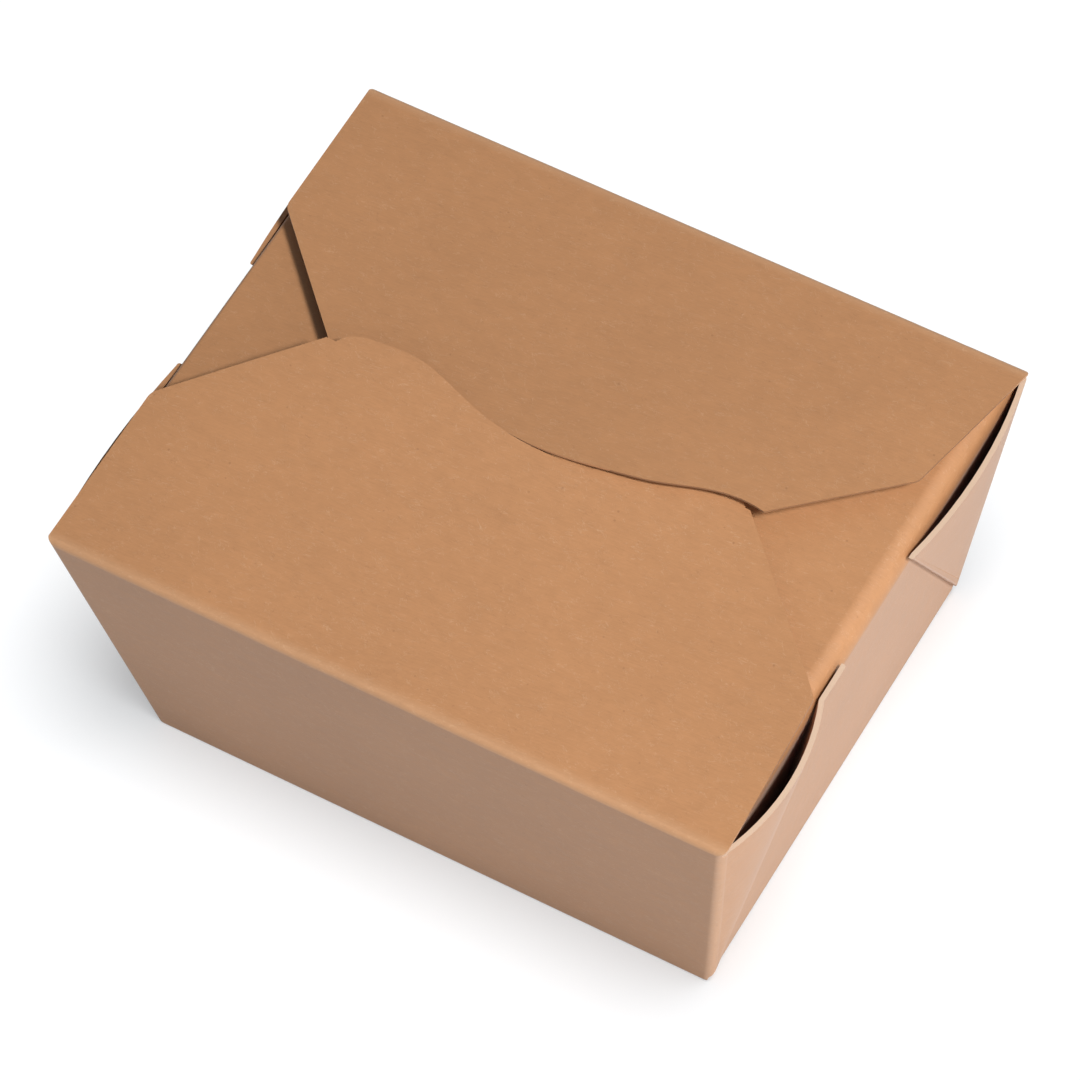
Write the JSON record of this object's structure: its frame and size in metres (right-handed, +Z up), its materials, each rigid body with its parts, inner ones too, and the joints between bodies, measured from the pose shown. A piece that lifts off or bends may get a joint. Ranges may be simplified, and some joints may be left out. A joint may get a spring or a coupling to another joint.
{
  "type": "takeaway carton",
  "caption": "Closed takeaway carton folded from one sheet of brown kraft card, with flared walls, glued gusset corners and an interlocking lid.",
  "frame": {"origin": "centre of the underside of the base panel, on the surface that the carton stands on; the gussets bow a little more at the right end than at the left, so the middle of the whole length lies 1 mm to the right of it", "axes": "+X along the long side of the carton, +Y to the back, +Z up"},
  "size_m": [0.134, 0.1078, 0.0713],
  "materials": {
    "kraft_card": "matte"
  },
  "bodies": {
    "root": {"folded_carton": "kraft_card"}
  },
  "joints": []
}
